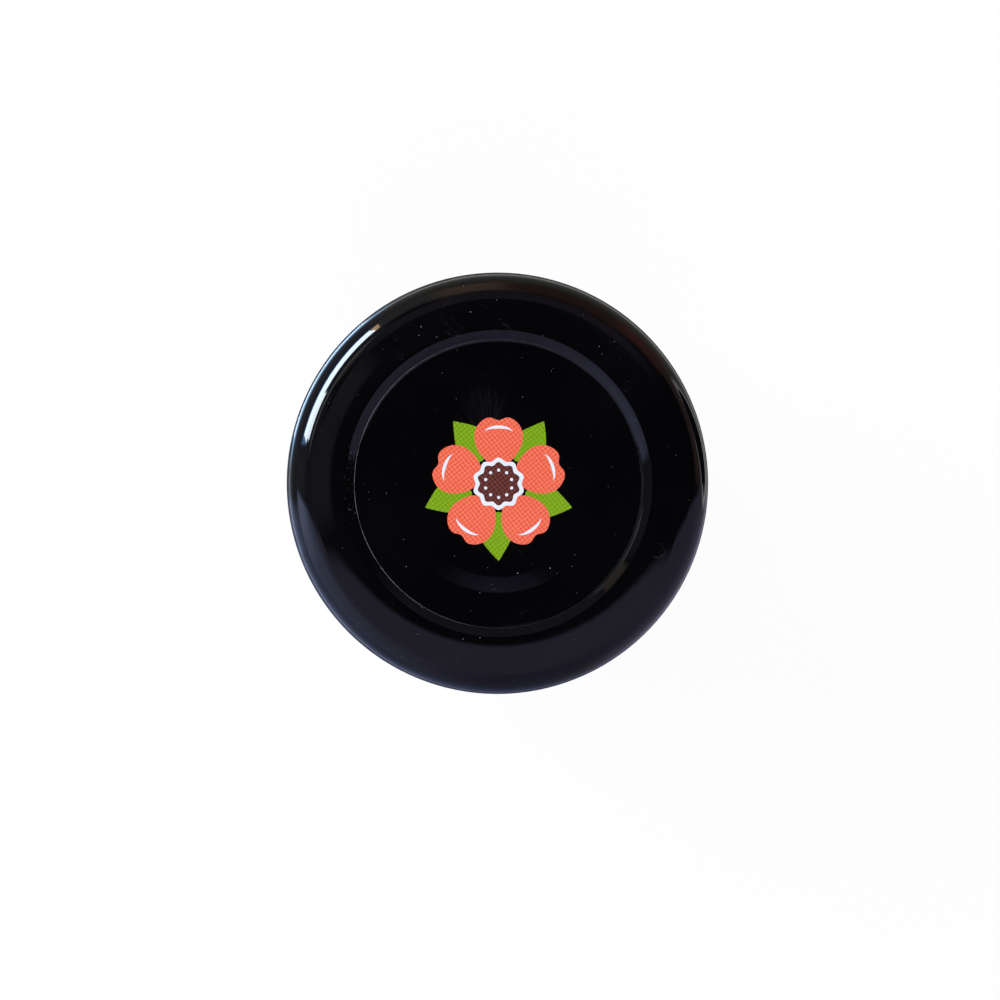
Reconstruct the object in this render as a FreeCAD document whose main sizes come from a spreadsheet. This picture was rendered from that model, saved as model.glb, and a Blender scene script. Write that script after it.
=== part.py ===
import FreeCAD, Part
import math
import os
import Sketcher

# A small round preserve jar with its twist-off lid on. Lengths are in millimetres. Z is the axis of
# the jar, z = 0 is the table that it stands on.
sizes = {
    # glass: body
    "glass_height": 56.2,      # table to the sealing rim
    "body_radius": 22.0,       # over the two contact bands
    "band_height": 6.0,        # of the contact band at the heel and of the one at the shoulder
    "label_recess": 0.25,      # the label panel lies this far inside the contact bands
    "wall": 2.0,
    "base_thickness": 2.7,
    "push_up": 1.1,            # height of the hollow under the base
    "foot_width": 4.6,         # from the edge of that hollow to the outside of the body
    "heel_round": 2.8,
    "floor_round": 3.6,        # inside corner between floor and wall
    "band_ease": 0.9,          # height over which a band runs into the label panel
    "soft_round": 1.5,         # at the edges of the bands and of the shoulder
    # glass: finish, the part that the lid goes over
    "finish_height": 9.4,      # from the bead to the rim
    "bead_height": 2.2,
    "bead_stand": 1.5,         # the bead stands out this far from the neck
    "bead_round": 0.8,
    "groove_height": 1.0,      # between the bead and the shoulder
    "groove_depth": 1.0,       # behind the bead
    "neck_radius": 19.95,
    "rim_width": 2.95,         # from the outside of the neck in to the bore
    "rim_round": 1.1,
    "throat_height": 3.4,      # over which the inside narrows from the body to the bore
    "throat_round": 2.6,
    # contents
    "headspace": 6.4,          # from the jam up to the rim
    "fill_clearance": 0.05,    # between jam and glass
    # seal
    "seal_thickness": 0.7,     # pressed between the rim and the lid
    "seal_margin": 0.4,        # from the ridge of the lid's ring out to the seal
    # lid: panel
    "sheet": 0.25,
    "ring_inset": 0.3,         # the ring's ridge lies this far inside the bore
    "step_run": 1.36,          # across the step from the panel up to the ridge
    "panel_depth": 1.3,        # panel below the ridge
    "panel_fall": 0.1,         # from the foot of the step to the valley
    "valley_inset": 2.9,       # from the foot of the step to the valley
    "button_run": 3.24,        # from the valley in to the button
    "button_rise": 0.35,
    "button_round": 14.0,
    "valley_round": 12.0,
    "step_round": 0.55,
    "ridge_round": 0.6,
    # lid: ring and skirt
    "ring_fall": 0.8,          # from the ridge to the outside, before the shoulder is rounded
    "lid_shoulder": 3.2,
    "skirt_gap": 2.2,          # between the neck and the skirt, where the thread runs
    "hem_gap": 0.6,            # between the bead of the glass and the hem
    "hem_width": 1.6,
    "hem_flat": 0.1,           # flat left between the two rounds of the hem
    "hem_stand": 0.6,          # the hem stands out this far from the skirt
    "hem_flare": 0.3,          # round where the skirt runs out into the hem
    # lid: lugs
    "lug_count": 4,
    "lug_neck_gap": 0.65,      # from the middle of a lug to the neck
    "lug_root": 0.4,           # the lug runs this far into the hem
    "lug_lift": 0.3,           # lug above the lower edge of the hem
    "lug_height": 1.0,
    "lug_round": 0.35,
}


class Size:
    # A length that carries the sheet expression it comes from: geometry is drawn with its value and
    # bound to its text.
    def __init__(self, value, text):
        self.value = value
        self.text = text

    def join(self, other, sign, value):
        return Size(value, f"({self.text} {sign} {as_size(other).text})")

    def __add__(self, other):
        return self.join(other, "+", self.value + as_size(other).value)

    def __sub__(self, other):
        return self.join(other, "-", self.value - as_size(other).value)

    def __mul__(self, other):
        return self.join(other, "*", self.value * as_size(other).value)

    def __truediv__(self, other):
        return self.join(other, "/", self.value / as_size(other).value)

    def root(self):
        return Size(math.sqrt(self.value), f"sqrt({self.text})")


def as_size(number):
    return number if isinstance(number, Size) else Size(float(number), str(number))


class Names:
    # The sheet's cells as attributes.
    def __init__(self, table):
        for name, value in table.items():
            setattr(self, name, Size(value, "Sizes." + name))


document = FreeCAD.newDocument("preserve_jar")
sheet = document.addObject("Spreadsheet::Sheet", "Sizes")
for row, (name, value) in enumerate(sizes.items(), start=1):
    sheet.set(f"A{row}", name)
    sheet.set(f"B{row}", str(value))
    sheet.setAlias(f"B{row}", name)
document.recompute()
s = Names(sizes)
nothing = as_size(0)

# Heights and radii that two or more pieces share.
label_radius = s.body_radius - s.label_recess
inner_radius = label_radius - s.wall
floor_height = s.push_up + s.base_thickness
bead_top = s.glass_height - s.finish_height
bead_bottom = bead_top - s.bead_height
bead_radius = s.neck_radius + s.bead_stand
bore_radius = s.neck_radius - s.rim_width
groove_bottom = bead_bottom - s.groove_height
jam_level = s.glass_height - s.headspace

ridge_radius = bore_radius - s.ring_inset
skirt_inside = s.neck_radius + s.skirt_gap
skirt_radius = skirt_inside + s.sheet
ring_slope = s.ring_fall / (skirt_radius - ridge_radius)
sheet_upright = s.sheet * (ring_slope * ring_slope + 1).root()   # the sheet measured along Z on the ring
rim_middle = (s.neck_radius + bore_radius) / 2
ridge_height = (s.glass_height + s.seal_thickness + sheet_upright
                + ring_slope * (rim_middle - ridge_radius))
hem_bottom = bead_top + s.hem_gap
hem_radius = skirt_radius + s.hem_stand
hem_inside = hem_radius - s.hem_width


def under_ring(radius):
    # Height of the lid's underside on the sloping ring.
    return ridge_height - sheet_upright - ring_slope * (radius - ridge_radius)


def place(sketch, item, end, across, up):
    # Fixes one point of the sketch at a distance from the axis and a height.
    for kind, length, axis in (("DistanceX", across, -2), ("DistanceY", up, -1)):
        if length is nothing:
            sketch.addConstraint(Sketcher.Constraint("PointOnObject", item, end, axis))
        else:
            number = sketch.addConstraint(Sketcher.Constraint(kind, item, end, length.value))
            sketch.setExpression(f"Constraints[{number}]", length.text)


def outline(sketch, corners, closed=True):
    # Draws straight lines between corners (across, up, round). A corner with a round gets an arc
    # tangent to both of its lines, and the lines still aim at the corner itself.
    points = [FreeCAD.Vector(across.value, up.value, 0) for across, up, _ in corners]
    count = len(points)
    starts, ends, arcs = {}, {}, {}
    for i, (_, _, radius) in enumerate(corners):
        starts[i] = ends[i] = points[i]
        if radius is None:
            continue
        along = (points[i] - points[i - 1]).normalize()
        onward = (points[(i + 1) % count] - points[i]).normalize()
        turn = math.atan2(along.cross(onward).z, along.dot(onward))
        reach = radius.value * math.tan(abs(turn) / 2)
        ends[i] = points[i] - along * reach
        starts[i] = points[i] + onward * reach
        side = FreeCAD.Vector(-along.y, along.x, 0) * math.copysign(radius.value, turn)
        centre = ends[i] + side
        first, last = (ends[i], starts[i]) if turn > 0 else (starts[i], ends[i])
        angles = [math.atan2(p.y - centre.y, p.x - centre.x) for p in (first, last)]
        circle = Part.Circle(centre, FreeCAD.Vector(0, 0, 1), radius.value)
        arcs[i] = (sketch.addGeometry(Part.ArcOfCircle(circle, *angles)), 1 if turn > 0 else 2)

    lines = {}
    for i in range(count if closed else count - 1):
        lines[i] = sketch.addGeometry(Part.LineSegment(starts[i], ends[(i + 1) % count]))

    for i, (across, up, radius) in enumerate(corners):
        before, after = lines.get((i - 1) % count), lines.get(i)
        if radius is None:
            if before is not None and after is not None:
                sketch.addConstraint(Sketcher.Constraint("Coincident", before, 2, after, 1))
            place(sketch, *((before, 2) if after is None else (after, 1)), across, up)
            continue
        arc, entry = arcs[i]
        corner = sketch.addGeometry(Part.Point(points[i]), True)
        place(sketch, corner, 1, across, up)
        sketch.addConstraint([
            Sketcher.Constraint("PointOnObject", corner, 1, before),
            Sketcher.Constraint("PointOnObject", corner, 1, after),
            Sketcher.Constraint("Tangent", before, 2, arc, entry),
            Sketcher.Constraint("Tangent", arc, 3 - entry, after, 1),
        ])
        number = sketch.addConstraint(Sketcher.Constraint("Radius", arc, radius.value))
        sketch.setExpression(f"Constraints[{number}]", radius.text)


def plane_of(body, role):
    return next(item for item in body.Origin.OriginFeatures if item.Role == role)


def turned_body(name, corners):
    # A body of revolution about Z from the closed outline of its half section.
    body = document.addObject("PartDesign::Body", name)
    section = body.newObject("Sketcher::SketchObject", name + "_section")
    section.AttachmentSupport = [(plane_of(body, "XZ_Plane"), "")]
    section.MapMode = "FlatFace"
    outline(section, corners)
    turned = body.newObject("PartDesign::Revolution", name + "_turned")
    turned.Profile = section
    turned.ReferenceAxis = (section, ["V_Axis"])
    turned.Angle = 360
    return body


def cavity(clearance, top, edge):
    # The inside of the glass from the floor up to a height, drawn in by a clearance.
    wall = inner_radius - clearance
    bore = bore_radius - clearance
    floor = floor_height + clearance
    return [
        (nothing, floor, None),
        (wall, floor, s.floor_round - clearance),
        (wall, groove_bottom - s.throat_height, s.throat_round - clearance),
        (bore, groove_bottom, s.throat_round + clearance),
        (bore, top, edge),
    ]


def make_glass():
    # One section: the hollow base, the body with its label panel, the bead, the finish and, back
    # down inside, the rim and the cavity.
    foot_edge = s.body_radius - s.foot_width
    upper_band = groove_bottom - s.groove_depth - s.band_height
    outside = [
        (nothing, s.push_up, None),
        (foot_edge - s.push_up * 2, s.push_up, s.soft_round * 2),
        (foot_edge, nothing, s.soft_round / 2),
        (s.body_radius, nothing, s.heel_round),
        (s.body_radius, s.band_height, s.soft_round),
        (label_radius, s.band_height + s.band_ease, s.soft_round),
        (label_radius, upper_band - s.band_ease, s.soft_round),
        (s.body_radius, upper_band, s.soft_round),
        (s.body_radius, groove_bottom - s.groove_depth, s.soft_round),
        (bead_radius - s.groove_depth, groove_bottom, s.bead_round / 2),
        (bead_radius - s.groove_depth, bead_bottom, s.bead_round / 2),
        (bead_radius, bead_bottom + s.bead_round / 2, s.bead_round),
        (bead_radius, bead_top - s.bead_round / 2, s.bead_round),
        (s.neck_radius, bead_top, s.bead_round / 2),
        (s.neck_radius, s.glass_height, s.rim_round),
    ]
    inside = cavity(nothing, s.glass_height, s.rim_round)
    return turned_body("glass_jar", outside + inside[::-1])


def make_jam():
    surface = cavity(s.fill_clearance, jam_level, None)
    return turned_body("jam", surface + [(nothing, jam_level, None)])


def make_seal():
    # The seal lies on the flat of the rim and against the underside of the lid's ring.
    inner = ridge_radius + s.seal_margin
    outer = skirt_radius - s.lid_shoulder + s.seal_margin
    return turned_body("seal_ring", [
        (inner, s.glass_height, None),
        (outer, s.glass_height, None),
        (outer, under_ring(outer), None),
        (inner, under_ring(inner), None),
    ])


def make_sheet_metal():
    # The pressed lid as one open line on its outer face, from the middle of the button to the end
    # of the hem rolled in under the skirt, thickened by the sheet and turned about Z.
    panel = ridge_height - s.panel_depth
    foot = ridge_radius - s.step_run
    valley = foot - s.valley_inset
    button_top = panel - s.panel_fall + s.button_rise
    hem_top = hem_bottom + s.hem_width
    hem_round = (s.hem_width - s.hem_flat) / 2
    line = document.addObject("Sketcher::SketchObject", "lid_line")
    line.Placement = FreeCAD.Placement(FreeCAD.Vector(), FreeCAD.Rotation(FreeCAD.Vector(1, 0, 0), 90))
    outline(line, [
        (nothing, button_top, None),
        (valley - s.button_run, button_top, s.button_round),
        (valley, panel - s.panel_fall, s.valley_round),
        (foot, panel, s.step_round),
        (ridge_radius, ridge_height, s.ridge_round),
        (skirt_radius, ridge_height - s.ring_fall, s.lid_shoulder),
        (skirt_radius, hem_top, s.hem_flare),
        (hem_radius, hem_top - s.hem_stand / 2, s.hem_flare * 2),
        (hem_radius, hem_bottom, hem_round),
        (hem_inside, hem_bottom, hem_round),
        (hem_inside, hem_top - s.hem_flare, None),
    ], closed=False)
    section = document.addObject("Part::Offset2D", "lid_section")
    section.Source = line
    section.Mode = "Skin"
    section.Join = "Intersection"
    section.Fill = True
    section.setExpression("Value", s.sheet.text)
    turned = document.addObject("Part::Revolution", "lid_sheet")
    turned.Source = section
    turned.Axis = FreeCAD.Vector(0, 0, 1)
    turned.Angle = 360
    turned.Solid = True
    return turned


def make_lid():
    # The turned sheet with its lugs. A lug is a straight tongue pressed in from the hem: it runs out
    # where its straight edge meets the round of the hem.
    body = document.addObject("PartDesign::Body", "lid")
    body.BaseFeature = make_sheet_metal()
    tip = s.neck_radius + s.lug_neck_gap
    root = hem_inside + s.lug_root
    lower = hem_bottom + s.lug_lift
    upper = lower + s.lug_height
    half_length = ((hem_inside + s.sheet / 2) * (hem_inside + s.sheet / 2) - tip * tip).root()
    section = body.newObject("Sketcher::SketchObject", "lug_section")
    section.AttachmentSupport = [(plane_of(body, "XZ_Plane"), "")]
    section.MapMode = "FlatFace"
    outline(section, [
        (tip, lower, s.lug_round),
        (root, lower, None),
        (root, upper, None),
        (tip, upper, s.lug_round),
    ])
    document.recompute()
    lug = body.newObject("PartDesign::Pad", "lug")
    lug.Profile = section
    lug.Midplane = True
    lug.setExpression("Length", (half_length * 2).text)
    ring = body.newObject("PartDesign::PolarPattern", "lug_ring")
    ring.Originals = [lug]
    ring.Axis = (plane_of(body, "Z_Axis"), [""])
    ring.Angle = 360
    ring.setExpression("Occurrences", s.lug_count.text)
    body.Tip = ring
    return body


pieces = [make_glass(), make_jam(), make_seal(), make_lid()]
document.recompute()

for item in document.Objects:
    failed = {"Invalid", "Error"} & set(item.State)
    if failed:
        raise RuntimeError(f"{item.Name} did not recompute: {failed}")
for piece in pieces:
    if piece.Shape.isNull() or not piece.Shape.isValid() or len(piece.Shape.Solids) != 1:
        raise RuntimeError(f"{piece.Label} is not one valid solid")

os.makedirs("parts", exist_ok=True)
for piece in pieces:
    box = piece.Shape.optimalBoundingBox(False, False)
    print(f"{piece.Label}: {piece.Shape.Volume:.0f} mm3, z {box.ZMin:.2f} to {box.ZMax:.2f}")
    piece.Shape.exportStep(f"parts/{piece.Label}.step")
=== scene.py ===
import bpy
import bmesh
import random
from math import atan2, ceil, copysign, cos, degrees, exp, pi, radians, sin, sqrt, tan
from mathutils import Matrix, Vector


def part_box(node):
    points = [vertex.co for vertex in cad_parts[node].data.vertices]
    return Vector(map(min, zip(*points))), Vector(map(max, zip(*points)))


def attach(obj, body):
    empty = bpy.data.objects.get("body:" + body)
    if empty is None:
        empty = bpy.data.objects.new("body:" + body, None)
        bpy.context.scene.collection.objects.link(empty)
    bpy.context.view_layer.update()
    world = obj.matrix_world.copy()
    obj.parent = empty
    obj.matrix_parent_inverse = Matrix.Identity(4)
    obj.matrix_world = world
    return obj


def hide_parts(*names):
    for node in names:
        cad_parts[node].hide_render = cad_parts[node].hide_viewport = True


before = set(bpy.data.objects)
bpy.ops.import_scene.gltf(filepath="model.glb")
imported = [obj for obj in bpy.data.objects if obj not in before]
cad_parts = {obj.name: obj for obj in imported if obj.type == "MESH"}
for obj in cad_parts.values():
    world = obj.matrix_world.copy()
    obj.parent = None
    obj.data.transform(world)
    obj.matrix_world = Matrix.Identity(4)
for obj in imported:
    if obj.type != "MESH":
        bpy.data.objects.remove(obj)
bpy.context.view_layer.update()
mm = 0.001


# small helpers

class Web:
    # short hand for building a node tree
    def __init__(self, tree):
        self.tree = tree

    def add(self, kind, inputs=None, **settings):
        # a kind that doesn't say Node is a shader node
        node = self.tree.nodes.new(kind if "Node" in kind else "ShaderNode" + kind)
        for key, value in settings.items():
            setattr(node, key, value)
        for key, value in (inputs or {}).items():
            self.feed(node.inputs[key], value)
        return node

    def feed(self, socket, value):
        if isinstance(value, bpy.types.NodeSocket):
            self.tree.links.new(value, socket)
        else:
            socket.default_value = value

    def math(self, operation, a, b=0.0, c=0.0, clamp=False):
        node = self.add("Math", {0: a, 1: b, 2: c}, operation=operation, use_clamp=clamp)
        return node.outputs[0]

    def plus(self, a, b, clamp=False):
        return self.math("ADD", a, b, clamp=clamp)

    def minus(self, a, b):
        return self.math("SUBTRACT", a, b)

    def above(self, a, b):
        return self.math("GREATER_THAN", a, b)

    def over(self, a, b):
        return self.math("DIVIDE", a, b)

    def times(self, first, *others, clamp=False):
        for other in others:
            first = self.math("MULTIPLY", first, other, clamp=clamp)
        return first

    def most(self, first, *others):
        for other in others:
            first = self.math("MAXIMUM", first, other)
        return first

    def hypot(self, x, y):
        return self.math("SQRT", self.plus(self.times(x, x), self.times(y, y)))

    def vector(self, operation, a, b=(0, 0, 0), **inputs):
        return self.add("VectorMath", {0: a, 1: b, **inputs}, operation=operation).outputs

    def length(self, vector):
        return self.vector("LENGTH", vector)["Value"]

    def parts(self, vector):
        return self.add("SeparateXYZ", {0: vector}).outputs

    def joined(self, x=0.0, y=0.0, z=0.0):
        return self.add("CombineXYZ", {0: x, 1: y, 2: z}).outputs[0]

    def turned(self, vector, angle):
        return self.add("VectorRotate", {"Vector": vector, "Angle": angle},
                        rotation_type="Z_AXIS").outputs[0]

    def mapped(self, vector, **inputs):
        return self.add("Mapping", {"Vector": vector, **inputs}).outputs[0]

    def ramp(self, value, low, high, outLow=0.0, outHigh=1.0):
        node = self.add("MapRange", {"Value": value, "From Min": low, "From Max": high,
                                               "To Min": outLow, "To Max": outHigh},
                        interpolation_type="SMOOTHSTEP")
        return node.outputs["Result"]

    def near(self, value, centre, inner, outer, peak=1.0):
        # the peak up to the inner distance from the centre, nothing beyond the outer one
        away = self.math("ABSOLUTE", self.minus(value, centre))
        return self.ramp(away, inner, outer, peak, 0.0)

    def noise(self, vector, scale, detail=3.0, roughness=0.5, distortion=0.0):
        node = self.add("TexNoise", {"Vector": vector, "Scale": scale, "Detail": detail,
                                               "Roughness": roughness, "Distortion": distortion})
        return node.outputs["Fac"]

    def patches(self, vector, scale, span, **more):
        # noise whose values are spread by a ramp
        return self.ramp(self.noise(vector, scale, **more), *span)

    def cells(self, vector, scale, smooth=0.0):
        # round cells: the distance from the middle of each, and a random value for each
        node = self.add("TexVoronoi", {"Vector": vector, "Scale": scale})
        if smooth:
            node.feature = "SMOOTH_F1"
            node.inputs["Smoothness"].default_value = smooth
        pick = self.add("TexWhiteNoise", {"Vector": node.outputs["Position"]},
                        noise_dimensions="3D")
        return node.outputs["Distance"], pick.outputs["Value"]

    def mix(self, factor, a, b):
        return self.add("Mix", {0: factor, 6: a, 7: b}, data_type="RGBA").outputs[2]

    def bump(self, height, distance, strength=1.0, **inputs):
        inputs = {"Strength": strength, "Distance": distance, "Height": height, **inputs}
        return self.add("Bump", inputs).outputs[0]

    def handled(self, vector, scratches, dust):
        # scratch, dust and haze left by handling
        inputs = {"Vector": vector, "Scratches": scratches, "Dust": dust}
        return self.add("Group", inputs, node_tree=handlingGroup).outputs

    def rays(self):
        # rays that come straight or through glass, and rays off gloss
        rays = self.add("LightPath").outputs
        straight = self.plus(rays["Is Camera Ray"], rays["Is Transmission Ray"], clamp=True)
        return straight, rays["Is Glossy Ray"]

    def gloss(self, colour, roughness, more=None):
        inputs = {"Base Color": colour, "Roughness": roughness, **(more or {})}
        return self.add("BsdfPrincipled", inputs)

    def layered(self, factor, under, upper):
        return self.add("MixShader", {0: factor, 1: under.outputs[0], 2: upper.outputs[0]})

    def finish(self, shader, target="Material"):
        self.add("Output" + target, {"Surface": shader.outputs[0]})


def srgb(red, green, blue):
    # a colour as seen on a screen, 0 to 255, turned linear
    def linear(value):
        value /= 255
        return value / 12.92 if value <= 0.04045 else ((value + 0.055) / 1.055) ** 2.4
    return (linear(red), linear(green), linear(blue), 1.0)


def freshNodes(owner):
    owner.use_nodes = True
    owner.node_tree.nodes.clear()
    return Web(owner.node_tree)


def startMaterial(name):
    material = bpy.data.materials.new(name)
    web = freshNodes(material)
    return material, web, web.add("TexCoord").outputs["Object"]


def startGroup(name, inputs, outputs, treeKind="ShaderNodeTree"):
    # each input is its label, its kind and, if given, its first value
    tree = bpy.data.node_groups.new(name, treeKind)
    for label, kind, *value in inputs:
        socket = tree.interface.new_socket(label, in_out="INPUT", socket_type="NodeSocket" + kind)
        if value:
            socket.default_value = value[0]
    for label, kind in outputs:
        tree.interface.new_socket(label, in_out="OUTPUT", socket_type="NodeSocket" + kind)
    web = Web(tree)
    return tree, web, web.add("NodeGroupInput").outputs, web.add("NodeGroupOutput").inputs


def meshFrom(name, shape):
    data = bpy.data.meshes.new(name)
    shape.to_mesh(data)
    shape.free()
    return data


def addObject(name, data):
    item = bpy.data.objects.new(name, data)
    bpy.context.scene.collection.objects.link(item)
    return item


def pieceFromMesh(name, mesh, material):
    piece = addObject(name, mesh)
    piece.data.materials.clear()
    piece.data.materials.append(material)
    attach(piece, "root")
    return piece


def turns(count):
    return [2 * pi * number / count for number in range(count)]


def roundedLine(corners, step=15):
    # corners (radius, height, round) of a turned section; a round becomes an arc in steps of so many degrees
    points = []
    for index, (across, up, radius) in enumerate(corners):
        here = Vector((across, up))
        if not radius or index in (0, len(corners) - 1):
            points.append(here)
            continue
        arriving = (here - Vector(corners[index - 1][:2])).normalized()
        leaving = (Vector(corners[index + 1][:2]) - here).normalized()
        turn = atan2(arriving.x * leaving.y - arriving.y * leaving.x, arriving.dot(leaving))
        reach = radius * tan(abs(turn) / 2)
        side = Vector((-arriving.y, arriving.x)) * copysign(radius, turn)
        centre = here - arriving * reach + side
        spoke = -side
        count = max(2, ceil(degrees(abs(turn)) / step))
        for number in range(count + 1):
            angle = turn * number / count
            points.append(centre + Vector((spoke.x * cos(angle) - spoke.y * sin(angle),
                                           spoke.x * sin(angle) + spoke.y * cos(angle))))
    return points


def evenly(points, longest):
    # adds points where a run of the section is longer than wanted
    result = [points[0]]
    for a, b in zip(points, points[1:]):
        count = max(1, ceil((b - a).length / longest))
        result += [a.lerp(b, number / count) for number in range(1, count + 1)]
    return result


def turnedMesh(name, section, segments, shift):
    # spins a section about Z; a point on the axis becomes one pole, and shift moves a point of the skin
    shape = bmesh.new()
    rings = []
    for number, point in enumerate(section):
        if point.x < 1e-6:
            rings.append([shape.verts.new((0, 0, point.y * mm))])
            continue
        ring = []
        for angle in turns(segments):
            outward, rise = shift(number, point.x, point.y, angle)
            across, up = (point.x + outward) * mm, (point.y + rise) * mm
            ring.append(shape.verts.new((across * cos(angle), across * sin(angle), up)))
        rings.append(ring)
    for low, high in zip(rings, rings[1:]):
        around = ((low, 0), (low, 1), (high, 1), (high, 0))
        for turn in range(segments):
            corners = dict.fromkeys(ring[(turn + step) % len(ring)] for ring, step in around)
            shape.faces.new(list(corners))  # a pole comes up twice and counts once
    bmesh.ops.recalc_face_normals(shape, faces=shape.faces)
    for face in shape.faces:
        face.smooth = True
    return meshFrom(name, shape)


# shared effects

screenLook = {
    "pitch": 0.25, "angle": 26.6,  # mm and degrees
    "coarser": 2.2, "turnBack": 20.1,  # the second screen against the first
    "fineShare": 0.6, "coarseShare": 0.75,
    "grain": 5200, "grainShare": 1.5,
    "span": 0.9,
}
handlingLook = {
    # angle and scale of each set of hair scratches, how much they are drawn out, half width, where they lie
    "scratches": ((0.7, 70.0), (2.4, 95.0)), "drawn": 14.0, "bend": 0.5, "width": 0.004,
    "patchScale": 1.3, "patchSpan": (0.60, 0.70),
    "grainScale": 700.0, "grainSize": (0.03, 0.06), "grainsAbove": 0.93,
    "haze": {"scale": 55, "detail": 4.0, "span": (0.35, 0.75)},
}


def makeScreenGroup():
    # the printing screen: two crossed rows of tiny dots, beating into a coarser weave
    look = screenLook
    tree, web, given, out = startGroup(
        "printingScreen",
        [("Vector", "Vector"), ("Pitch", "Float", look["pitch"]), ("Angle", "Float", look["angle"]),
         ("Light", "Color"), ("Dark", "Color"), ("Strength", "Float")],
        [("Color", "Color"), ("Height", "Float")])

    def wave(angle, pitch):
        across, along, up = web.parts(web.turned(given["Vector"], web.math("RADIANS", angle)))
        size = web.over(2 * pi, web.times(pitch, mm))
        return web.times(web.math("SINE", web.times(across, size)), web.math("SINE", web.times(along, size)))

    fine = wave(given["Angle"], given["Pitch"])
    coarse = wave(web.minus(given["Angle"], look["turnBack"]), web.times(given["Pitch"], look["coarser"]))
    both = web.plus(web.times(fine, look["fineShare"]), web.times(coarse, look["coarseShare"]))
    uneven = web.minus(web.noise(given["Vector"], look["grain"], detail=2.0), 0.5)
    level = web.plus(both, web.times(uneven, look["grainShare"]))
    share = web.ramp(web.times(level, given["Strength"]), -look["span"], look["span"])
    web.feed(out["Color"], web.mix(share, given["Dark"], given["Light"]))
    web.feed(out["Height"], share)
    return tree


def makeHandlingGroup():
    # what handling leaves on a glossy surface: hair scratches, grains of dust and a faint haze
    look = handlingLook
    tree, web, given, out = startGroup(
        "handling", [("Vector", "Vector"), ("Scratches", "Float"), ("Dust", "Float")],
        [("Scratch", "Float"), ("Dust", "Float"), ("Haze", "Float")])
    place = given["Vector"]

    def scratched(angle, scale):
        drawn = web.mapped(web.turned(place, angle), Scale=(1.0, look["drawn"], 1.0))
        bent = web.noise(drawn, scale, detail=1.0, distortion=look["bend"])
        patch = web.patches(place, scale * look["patchScale"], look["patchSpan"], detail=1.0)
        return web.times(web.near(bent, 0.5, 0.0, look["width"]), patch)

    lines = web.most(*(scratched(*numbers) for numbers in look["scratches"]))
    web.feed(out["Scratch"], web.times(lines, given["Scratches"], clamp=True))
    away, pick = web.cells(place, look["grainScale"])
    spot = web.ramp(away, *look["grainSize"], 1.0, 0.0)
    spot = web.times(spot, web.above(pick, look["grainsAbove"]))
    web.feed(out["Dust"], web.times(spot, given["Dust"], clamp=True))
    web.feed(out["Haze"], web.patches(place, **look["haze"]))
    return tree


screenGroup = makeScreenGroup()
handlingGroup = makeHandlingGroup()


# lid: black gloss enamel on the pressed sheet

lidLook = {
    "enamel": (0.0009, 0.0009, 0.0013, 1.0),
    "dustColour": (0.30, 0.31, 0.33, 1.0),
    "wornColour": (0.16, 0.17, 0.18, 1.0),
    "gloss": 0.035, "ior": 1.5,  # roughness and refraction of the clean enamel
    "scratches": 0.6, "dust": 1.0,
    "scratchTint": 0.12, "hazeTint": 0.004, "hazeGloss": 0.02, "wornGloss": 0.4,
    # the fold at the foot of the step, radii in mm here and below, and how its wear is spread
    "edgeRadius": 15.34, "edgeWidth": 0.042,
    "wearReach": 15, "wearWest": (0.0, -1.0, 0.12, 1.0),
    "wear": {"scale": 420, "detail": 4.0, "roughness": 0.7, "span": (0.30, 0.60, 0.25, 1.0)},
    # where and how far the normals are eased upward
    "stepFoot": (15.15, 15.32), "stepHead": (16.18, 16.36), "stepEase": 0.44, "stepDrift": 0.09,
    "ringSpan": (16.0, 19.4), "valleySpan": (13.6, 14.6), "valleyEase": 0.53,
    # rubbed spots on the step wall
    "stepRadius": 15.95, "rubWidth": (0.25, 0.6), "rubSide": (9.0, 13.0, 0.0, 0.7),
    "rub": {"scale": 2600, "detail": 3.0, "roughness": 0.8, "span": (0.60, 0.70)},
    # the fan of rub marks: its middle, how far south of that its rays start, its reach
    "fanEast": -1.5, "fanNorth": 7.4, "fanHub": 3.0, "fanReach": (0.8, 3.6), "fanTwist": 0.02,
    "fanTint": 0.022, "fan": {"scale": 16, "detail": 4.0, "roughness": 0.7, "span": (0.38, 0.68)},
    # painted sheen behind the hem, lightened in patches toward the dust colour
    "hemRadius": 22.68, "hemReach": 0.32, "hemTop": 1.7, "hemSheenShare": 0.19,
    "hemSheenPatches": {"scale": 700, "detail": 3.0, "span": (0.3, 0.6, 0.5, 1.0)},
    # ring marks, clock angle and mm out for each, and heights in mm
    "stackMarks": ((291.3, 19.1), (341.3, 18.1), (18.6, 18.8), (112.4, 18.25), (180.0, 19.2)),
    "markRadius": 0.75, "markWidth": 0.22, "markHeight": 0.0035,
    "skinScale": 340, "skinHeight": 0.0035, "pimpleScale": 1500, "pimpleHeight": 0.0006,
}
softEdge = 0.4  # share of a narrow band that is full before it fades


def easedNormal(web, radius):
    # the drawn sheet is softer than its section: the step leans less, the ridge runs out flat into the ring
    look = lidLook
    facing = web.add("NewGeometry").outputs["Normal"]
    onStep = web.plus(web.ramp(radius, *look["stepFoot"], 0.0, look["stepEase"]),
                      web.ramp(radius, look["stepFoot"][1], look["stepHead"][0], 0.0, look["stepDrift"]))
    onRing = web.ramp(radius, *look["ringSpan"], 1.0, 0.0)
    pastStep = web.ramp(radius, *look["stepHead"])
    ease = web.plus(web.times(onStep, web.minus(1.0, pastStep)), web.times(onRing, pastStep))
    ease = web.plus(ease, web.ramp(radius, *look["valleySpan"], look["valleyEase"], 0.0))
    ease = web.times(ease, web.above(web.parts(facing)[2], 0.0))
    eased = web.add("Mix", {0: ease, 4: facing, 5: (0, 0, 1)}, data_type="VECTOR")
    return web.vector("NORMALIZE", eased.outputs[1])[0]


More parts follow.
